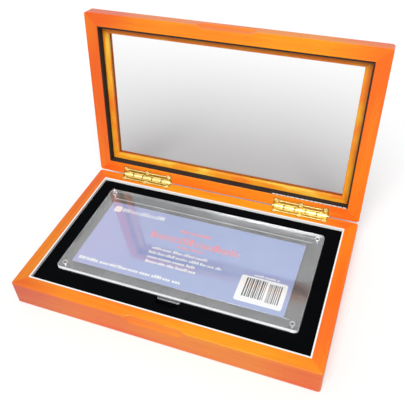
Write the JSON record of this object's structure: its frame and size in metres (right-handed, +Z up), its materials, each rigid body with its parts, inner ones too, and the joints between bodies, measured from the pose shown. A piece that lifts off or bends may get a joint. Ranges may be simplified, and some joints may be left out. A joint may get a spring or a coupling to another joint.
{
  "type": "banknote display box",
  "caption": "Hinged wooden case with a glazed lid and a velvet insert that holds a clear plate holder for a large banknote.",
  "frame": {"origin": "centre of the underside of the base, which rests on a table", "axes": "+X to the right along the case's length, +Y towards the hinges, +Z up"},
  "size_m": [0.276, 0.2054, 0.1927],
  "materials": {
    "honey_wood": "gloss",
    "bead_wood": "satin",
    "plywood": "matte",
    "white_board": "matte",
    "black_board": "matte",
    "felt": "matte",
    "foam": "matte",
    "black_velvet": "matte",
    "clear_acrylic": "gloss",
    "acrylic_pin": "gloss",
    "printed_card": "satin",
    "white_label": "matte",
    "clear_glass": "gloss",
    "brass": "polished"
  },
  "bodies": {
    "base": {"base_hinge_nails": "brass", "base_rail_back": "honey_wood", "base_rail_front": "honey_wood", "base_rail_left": "honey_wood", "base_rail_right": "honey_wood", "bottom_panel": "plywood", "insert_foam": "foam", "left_hinge_base_leaf": "brass", "left_hinge_pin": "brass", "right_hinge_base_leaf": "brass", "right_hinge_pin": "brass", "tray_liner_back": "white_board", "tray_liner_front": "white_board", "tray_liner_left": "white_board", "tray_liner_right": "white_board", "underside_felt": "felt", "velvet_cover": "black_velvet"},
    "lid": {"glass_bead_back": "bead_wood", "glass_bead_front": "bead_wood", "glass_bead_left": "bead_wood", "glass_bead_right": "bead_wood", "left_hinge_lid_leaf": "brass", "lid_glass": "clear_glass", "lid_hinge_nails": "brass", "lid_lining_back": "black_board", "lid_lining_front": "black_board", "lid_lining_left": "black_board", "lid_lining_right": "black_board", "lid_rail_back": "honey_wood", "lid_rail_front": "honey_wood", "lid_rail_left": "honey_wood", "lid_rail_right": "honey_wood", "right_hinge_lid_leaf": "brass"},
    "holder": {"holder_base": "clear_acrylic", "holder_cover": "clear_acrylic", "holder_pins": "acrylic_pin", "display_card": "printed_card", "card_label": "white_label"}
  },
  "joints": [
    {"name": "lid_hinge", "type": "hinge", "parent": "base", "child": "lid", "pos_m": [0, 0.084, 0.0264], "axis": [1, 0, 0], "range_deg": [0, 98]},
    {"name": "holder_lift", "type": "slide", "parent": "base", "child": "holder", "axis": [0, 0, 1], "range_m": [0, 0.0075]}
  ]
}
